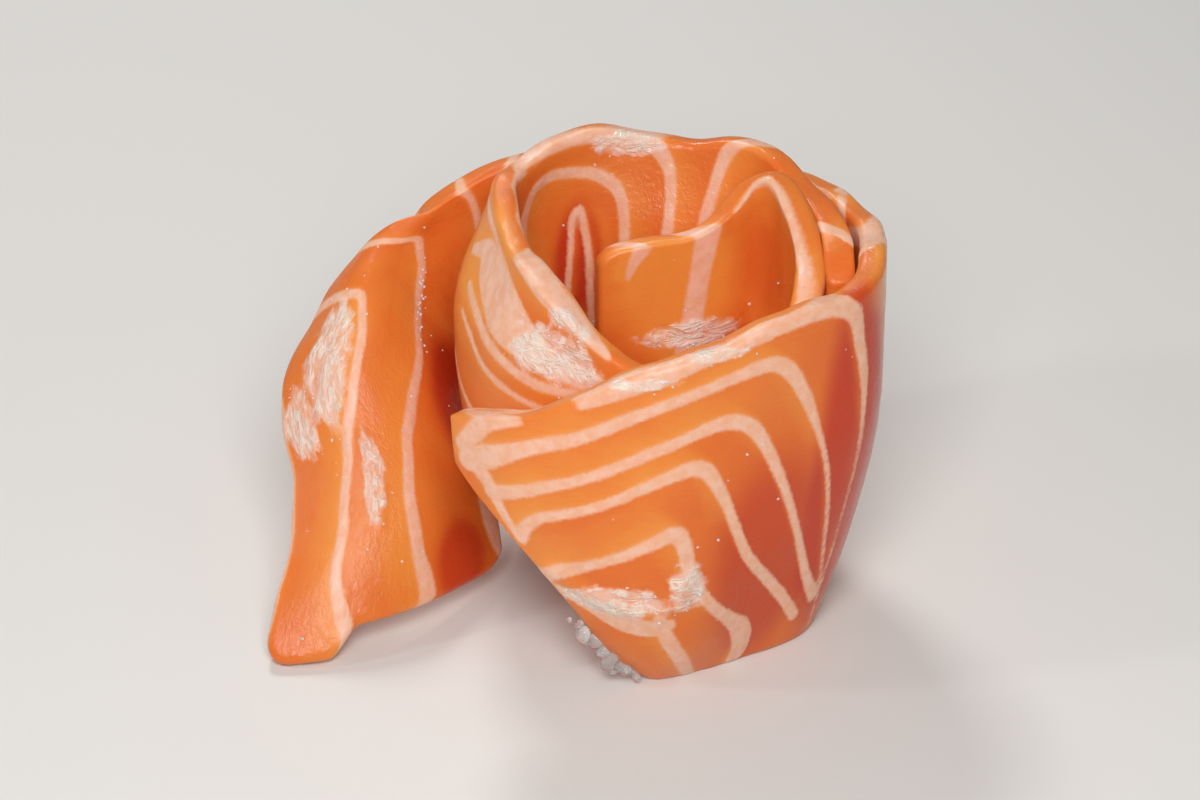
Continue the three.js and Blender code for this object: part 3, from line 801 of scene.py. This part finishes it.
class CoreSlice(Slice):
    """The inner slice: its band at the left of the rose is cut thicker towards its rim, and so are
    the parts at the right that press on each other."""

    def __init__(self):
        surface = Wall(CORE_ROUTE, CORE_HEIGHT, -1, core_shape)
        half = CORE_THICKNESS / 2
        fat = FatPattern(
            (CORE_PETAL_FAT, half, PETAL_SLANT),
            (CORE_RIM_FAT, half, RIM_SLANT),
            (CORE_INNER_FAT, half, CORE_SLANT),
            (CORE_OUTER_FAT, -half, CORE_SLANT),
        )
        super().__init__(surface, CORE_THICKNESS, fat, seed=11)
        self.mark(1, CORE_INNER_TORN, CORE_INNER_SHADES_AND_TONES)
        self.mark(-1, CORE_OUTER_TORN, CORE_OUTER_TONES)

    def thicker(self, along, across, offset):
        near = np.exp(-(((along - BAND_RIM["middle"]) / BAND_RIM["spread"]) ** 2))
        band = BAND_RIM["growth"] * near * smoothstep(across, BAND_RIM["from"], BAND_RIM["to"])
        come, come_full, go, gone = PRESSED["turn"]
        turn = smoothstep(along, come, come_full) * (1 - smoothstep(along, go, gone))
        pressed = (turn + smoothstep(along, *PRESSED["end"])) * smoothstep(across, *PRESSED["above"])
        return band + PRESSED["growth"] * pressed


class WrapSlice(Slice):
    """The outer slice, with a fold low on its free end."""

    def __init__(self):
        surface = Wall(WRAP_ROUTE, WRAP_HEIGHT, 1, wrap_shape)
        half = WRAP_THICKNESS / 2
        fat = FatPattern((WRAP_OUTER_FAT, half, WRAP_SLANT), (WRAP_INNER_FAT, -half, WRAP_SLANT))
        super().__init__(surface, WRAP_THICKNESS, fat, seed=23)
        self.mark(1, WRAP_TORN, WRAP_SHADES_AND_TONES)
        self.fold = smooth_line(FRONT_FOLD)

    def thicker(self, along, across, offset):
        gap = line_gap(self.fold, along, across)
        return FOLD_RISE * (1 - smoothstep(gap, 0, FOLD_REACH)) * (offset > 0)


class DrapedSlice(Slice):
    """The slice that hangs from the back of the rose to its lower left."""

    def __init__(self):
        surface = Drape(DRAPE_ROUTE, DRAPE_WIDTH)
        half = DRAPE_THICKNESS / 2
        fat = FatPattern((DRAPE_FAT, half, DRAPE_SLANT), (DRAPE_MARGIN_FAT, half, MARGIN_SLANT))
        super().__init__(surface, DRAPE_THICKNESS, fat, seed=37)
        self.mark(1, DRAPE_TORN, DRAPE_SHADES_AND_TONES)


def add_attribute(mesh, name, kind, values):
    attribute = mesh.attributes.new(name, kind, "POINT")
    field = "vector" if kind == "FLOAT_VECTOR" else "value"
    attribute.data.foreach_set(field, np.ascontiguousarray(values, np.float32).ravel())


def add_object(name, data):
    """A new object of the scene, of a mesh, a lamp or a camera."""
    made = bpy.data.objects.new(name, data)
    bpy.context.scene.collection.objects.link(made)
    return made


def add_mesh(name, mesh, material):
    mesh.polygons.foreach_set("use_smooth", [True] * len(mesh.polygons))
    mesh.materials.append(material)
    return add_object(name, mesh)


def make_object(name, positions, quads, material):
    mesh = bpy.data.meshes.new(name)
    mesh.from_pydata(positions.tolist(), [], quads.tolist())
    mesh.update()
    return add_mesh(name, mesh, material)


def make_slice(name, node, piece, material):
    """Builds a slice in place of a node, with the values that its material reads."""
    piece.build()
    positions = in_frame(np.concatenate(piece.positions))
    made = make_object(name, positions, np.concatenate(piece.quads), material)
    laid = np.concatenate(piece.laid)
    gap = np.clip(piece.fat.gap(*laid.T), -FAT_GAP_MOST, FAT_GAP_MOST)
    add_attribute(made.data, "fat_gap", "FLOAT", gap)
    add_attribute(made.data, "fat_glow", "FLOAT", piece.fat.glow(*laid.T))
    add_attribute(made.data, "torn", "FLOAT", piece.torn(*laid.T))
    add_attribute(made.data, "tone", "FLOAT", piece.tone(*laid.T))
    add_attribute(made.data, "laid_out", "FLOAT_VECTOR", laid)
    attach(made, "root")
    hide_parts(node)


class Paint:
    """A material whose shader inputs are set or fed by small values made of nodes."""

    def __init__(self, name):
        self.material = bpy.data.materials.new(name)
        self.material.use_nodes = True
        tree = self.material.node_tree
        tree.nodes.clear()
        self.nodes = tree.nodes
        self.links = tree.links
        self.shader = self.nodes.new("ShaderNodeBsdfPrincipled")
        output = self.nodes.new("ShaderNodeOutputMaterial")
        self.links.new(self.shader.outputs["BSDF"], output.inputs["Surface"])

    def give(self, socket, value):
        """Sets a socket to a number or colour, or links a node's output to it."""
        if isinstance(value, bpy.types.NodeSocket):
            self.links.new(value, socket)
        elif isinstance(value, tuple) and socket.type == "RGBA":
            socket.default_value = (*value, 1.0)
        else:
            socket.default_value = value

    def set(self, **values):
        """Gives inputs of the shader their values; underscores stand for spaces."""
        for name, value in values.items():
            self.give(self.shader.inputs[name.replace("_", " ")], value)

    def attribute(self, name, output="Fac"):
        node = self.nodes.new("ShaderNodeAttribute")
        node.attribute_type = "GEOMETRY"
        node.attribute_name = name
        return node.outputs[output]

    def noise(self, vector, scale, detail, roughness=0.5, distortion=0.0):
        node = self.nodes.new("ShaderNodeTexNoise")
        self.give(node.inputs["Vector"], vector)
        self.give(node.inputs["Scale"], scale)
        self.give(node.inputs["Detail"], detail)
        self.give(node.inputs["Roughness"], roughness)
        self.give(node.inputs["Distortion"], distortion)
        return node.outputs["Fac"]

    def stretched(self, vector, scale, turn=0.0):
        node = self.nodes.new("ShaderNodeMapping")
        self.give(node.inputs["Vector"], vector)
        self.give(node.inputs["Rotation"], (0.0, 0.0, turn))
        self.give(node.inputs["Scale"], scale)
        return node.outputs["Vector"]

    def math(self, operation, first, second):
        node = self.nodes.new("ShaderNodeMath")
        node.operation = operation
        self.give(node.inputs[0], first)
        self.give(node.inputs[1], second)
        return node.outputs["Value"]

    def plus(self, first, second):
        return self.math("ADD", first, second)

    def times(self, first, second):
        return self.math("MULTIPLY", first, second)

    def swung(self, noise, reach):
        """A noise of 0 to 1, moved to swing about 0 over reach in all."""
        return self.times(self.plus(noise, -0.5), reach)

    def ranged(self, value, low, high, to_low=0.0, to_high=1.0):
        node = self.nodes.new("ShaderNodeMapRange")
        node.interpolation_type = "SMOOTHSTEP"
        self.give(node.inputs["Value"], value)
        self.give(node.inputs["From Min"], low)
        self.give(node.inputs["From Max"], high)
        self.give(node.inputs["To Min"], to_low)
        self.give(node.inputs["To Max"], to_high)
        return node.outputs["Result"]

    def mixed(self, share, first, second):
        node = self.nodes.new("ShaderNodeMix")
        node.data_type = "RGBA"
        self.give(node.inputs["Factor"], share)
        self.give(node.inputs["A"], first)
        self.give(node.inputs["B"], second)
        return node.outputs["Result"]

    def bumped(self, height, distance, strength):
        node = self.nodes.new("ShaderNodeBump")
        self.give(node.inputs["Height"], height)
        self.give(node.inputs["Distance"], distance)
        self.give(node.inputs["Strength"], strength)
        return node.outputs["Normal"]


def fat_share(paint, laid, wander):
    """Where the skin is fat, 0 to 1, with the wandering and fine teeth of a line's edge."""
    teeth = paint.noise(laid, scale=1.7, detail=2.0)
    gap = paint.plus(paint.attribute("fat_gap"), paint.swung(wander, SIDE_WANDER))
    gap = paint.plus(gap, paint.swung(teeth, SIDE_TEETH))
    return paint.ranged(gap, *SIDE_TURN, to_low=1.0, to_high=0.0)


def flesh_colour(paint, laid):
    """Deep orange flesh, paler in cloudy patches, along its fibres and over fat below the skin."""
    lying = paint.stretched(laid, FIBRES["scale"])
    fibres = paint.noise(lying, scale=1.0, detail=3.0, roughness=0.6, distortion=0.4)
    cloud = paint.noise(laid, scale=0.12, detail=2.0)
    mottle = paint.plus(cloud, paint.times(fibres, FIBRES["share"]))
    mottle = paint.ranged(mottle, *MOTTLE["turn"], to_high=MOTTLE["most"])
    glow = paint.attribute("fat_glow")
    tone = paint.attribute("tone")
    flesh = paint.mixed(paint.plus(paint.plus(mottle, glow), tone), FLESH_DEEP, FLESH_LIGHT)
    cleared = paint.ranged(glow, *GLOW_CLEARS, to_low=1.0, to_high=0.0)
    # Painted shade: below a tone of 0 the flesh turns deep red, unless fat shines through
    red = paint.times(paint.ranged(tone, -1.0, 0.0, to_low=1.0, to_high=0.0), cleared)
    flesh = paint.mixed(red, flesh, SHADE_RED)
    tint = paint.ranged(glow, *GLOW_TINT["turn"], to_high=GLOW_TINT["most"])
    return paint.mixed(tint, flesh, FAT_ROSY)


def torn_share(paint, laid):
    """Where the skin is torn, 0 to 1, with a ragged border; it also masks a painted wet sheen."""
    ragged = paint.noise(laid, scale=0.4, detail=3.0, roughness=0.6)
    ragged = paint.ranged(ragged, 0.3, 0.7, to_high=TORN_BORDER["ragged"])
    return paint.ranged(paint.plus(paint.attribute("torn"), ragged), *TORN_BORDER["turn"])


def torn_ridges(paint, laid, torn):
    """Fine raised threads, 0 to 1, that wander and branch where the skin is torn."""
    lying = paint.stretched(laid, THREADS["scale"], turn=-math.atan(TORN["lean"]))
    wander = paint.noise(lying, scale=1.0, detail=3.0, roughness=0.62, distortion=0.9)
    thread = paint.ranged(paint.math("PINGPONG", wander, 0.5), *THREADS["crest"])
    return paint.times(thread, torn)


def raw_salmon():
    """Orange flesh that lets light in, pale fat lines with soft and sharp sides, and a wet skin."""
    paint = Paint("raw_salmon")
    laid = paint.attribute("laid_out", "Vector")
    torn = torn_share(paint, laid)
    wander = paint.noise(laid, scale=0.55, detail=3.0, roughness=0.55)
    milky = paint.mixed(paint.ranged(wander, 0.35, 0.65), FAT_ROSY, FAT_PALE)
    meat = paint.mixed(fat_share(paint, laid, wander), flesh_colour(paint, laid), milky)
    ridges = torn_ridges(paint, laid, torn)
    # Painted sheen: torn patches and their threads are paled towards white, a painted wet highlight
    # over pale torn fibres
    sheen_haze = paint.plus(paint.times(ridges, THREAD_SHEEN_HAZE), paint.times(torn, TORN_SHEEN_HAZE))
    grain = paint.noise(laid, scale=1.1, detail=4.0, roughness=0.65, distortion=0.6)
    strength = paint.plus(paint.times(torn, SKIN_RELIEF["torn"]), SKIN_RELIEF["strength"])
    relief = paint.bumped(paint.plus(grain, ridges), SKIN_RELIEF["depth"] * MM, strength)
    paint.set(
        Base_Color=paint.mixed(sheen_haze, meat, TORN_AND_SHEEN_PALE),
        Subsurface_Weight=0.45,
        Subsurface_Radius=(1.0, 0.34, 0.14),
        Subsurface_Scale=2.5 * MM,
        Roughness=paint.ranged(torn, 0.0, 1.0, to_low=SKIN_ROUGHNESS, to_high=TORN_ROUGHNESS),
        IOR=1.36,
        Specular_IOR_Level=0.25,
        Normal=relief,
        Coat_Weight=0.7,
        Coat_Roughness=0.07,
        Coat_IOR=1.36,
        Coat_Normal=relief,
    )
    return paint.material


def melt_water(name, clearness):
    paint = Paint(name)
    paint.set(Base_Color=WATER_COLOUR, Roughness=0.06, IOR=1.33, Transmission_Weight=clearness)
    return paint.material


def plain_floor():
    paint = Paint("pale_floor")
    paint.set(Base_Color=FLOOR_COLOUR, Roughness=0.8)
    return paint.material


def add_beads(name, beads, material, detail, seed):
    """Uneven round beads as one mesh, each bead a centre in the frame and a radius in mm."""
    random = np.random.default_rng(seed)
    shape = bmesh.new()
    for centre, radius in beads:
        squash = Matrix.Diagonal([*random.uniform(*BEAD_SQUASH, 3), 1])
        turn = Matrix.Rotation(random.uniform(0, 2 * math.pi), 4, random.normal(size=3))
        bmesh.ops.create_icosphere(
            shape,
            subdivisions=detail,
            radius=radius * MM,
            matrix=Matrix.Translation(centre) @ turn @ squash,
        )
    mesh = bpy.data.meshes.new(name)
    shape.to_mesh(mesh)
    shape.free()
    made = add_mesh(name, mesh, material)
    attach(made, "root")


def droplets_at(piece, along, across, side, random):
    """Droplets at places of the slice laid out, on its front (side 1) or its back (side -1)."""
    u, v = piece.surface.spot(along, across)
    low, high = DROPLET_RANGE
    inside = (u > low) & (u < high) & (v > low) & (v < high)
    u, v = u[inside], v[inside]
    centres = in_frame(piece.bend(u, v, np.full(u.shape, piece.half * side)))
    return list(zip(centres, random.uniform(*DROPLET_RADIUS, u.size)))


def fine_droplets(piece, rows, seed):
    """Droplets anywhere on the front of a slice, more in its torn patches and along its rows."""
    random = np.random.default_rng(seed)
    u, v = random.uniform(*DROPLET_RANGE, (2, FINE_DROPLETS))
    drops = droplets_at(piece, *piece.surface.laid(u, v), 1, random)
    for middle_x, middle_y, reach_x, reach_y, side in piece.torn_patches:
        x, y = random.normal(0, PATCH_SPREAD, (2, PATCH_DROPLETS))
        along, across = middle_x + x * reach_x, middle_y + y * reach_y
        drops += droplets_at(piece, along, across, side, random)
    for start, end in rows:
        t = random.uniform(0, 1, ROW_DROPLETS)
        stray = random.normal(0, ROW_STRAY, (2, ROW_DROPLETS))
        along = start[0] + (end[0] - start[0]) * t + stray[0]
        across = start[1] + (end[1] - start[1]) * t + stray[1]
        drops += droplets_at(piece, along, across, 1, random)
    return drops


def look_at(thing, place, target):
    thing.location = place
    direction = Vector(target) - Vector(place)
    thing.rotation_mode = "QUATERNION"
    thing.rotation_quaternion = direction.to_track_quat("-Z", "Y")


def add_camera():
    camera = add_object("camera", bpy.data.cameras.new("camera"))
    camera.data.lens = VIEW_LENS
    camera.data.sensor_width = SENSOR_WIDTH
    camera.data.clip_start = VIEW_NEAR
    elevation = math.radians(VIEW_ELEVATION)
    back = Vector((0, -math.cos(elevation), math.sin(elevation)))
    look_at(camera, Vector(VIEW_POINT) + back * VIEW_DISTANCE, VIEW_POINT)
    bpy.context.scene.camera = camera


def add_light(name, azimuth, elevation, distance, size, power):
    """A soft square lamp, placed round the object: azimuth 0 is the camera's side, 90 its left."""
    lamp = bpy.data.lights.new(name, "AREA")
    lamp.size = size
    lamp.energy = power
    a, e = math.radians(azimuth), math.radians(elevation)
    place = Vector((-math.sin(a) * math.cos(e), -math.cos(a) * math.cos(e), math.sin(e))) * distance
    look_at(add_object(name, lamp), place, LAMP_TARGET)


def add_studio():
    add_light("key", azimuth=0, elevation=46, distance=0.6, size=0.30, power=2.55)
    add_light("side", azimuth=80, elevation=30, distance=0.6, size=0.05, power=0.4)
    add_light("back", azimuth=165, elevation=50, distance=0.6, size=0.12, power=1.2)
    add_light("fill", azimuth=-60, elevation=35, distance=0.8, size=0.5, power=0.12)
    world = bpy.data.worlds.new("studio")
    world.use_nodes = True
    world.node_tree.nodes["Background"].inputs["Color"].default_value = (1, 1, 1, 1)
    world.node_tree.nodes["Background"].inputs["Strength"].default_value = WORLD_LIGHT
    bpy.context.scene.world = world
    bpy.context.scene.view_settings.view_transform = "Standard"


def add_floor():
    corners = np.array([(-1, -1, 0), (1, -1, 0), (1, 1, 0), (-1, 1, 0)]) * FLOOR_REACH
    floor = make_object("floor", corners, np.array([[0, 1, 2, 3]]), plain_floor())


add_camera()
add_studio()
add_floor()
salmon = raw_salmon()
inner, outer, hanging = CoreSlice(), WrapSlice(), DrapedSlice()
make_slice("inner_slice", "core_slice", inner, salmon)
make_slice("outer_slice", "wrap_slice", outer, salmon)
make_slice("hanging_slice", "draped_slice", hanging, salmon)
ice = [(np.array(place) * MM, radius) for *place, radius in MELT_BEADS]
add_beads("melt_beads", ice, melt_water("melting_ice", clearness=0.8), detail=3, seed=5)
droplets = fine_droplets(inner, rows=[], seed=1) + fine_droplets(outer, rows=[], seed=2)
droplets += fine_droplets(hanging, rows=DRAPE_ROWS, seed=3)
add_beads("fine_droplets", droplets, melt_water("fine_droplets", clearness=0.3), detail=1, seed=6)
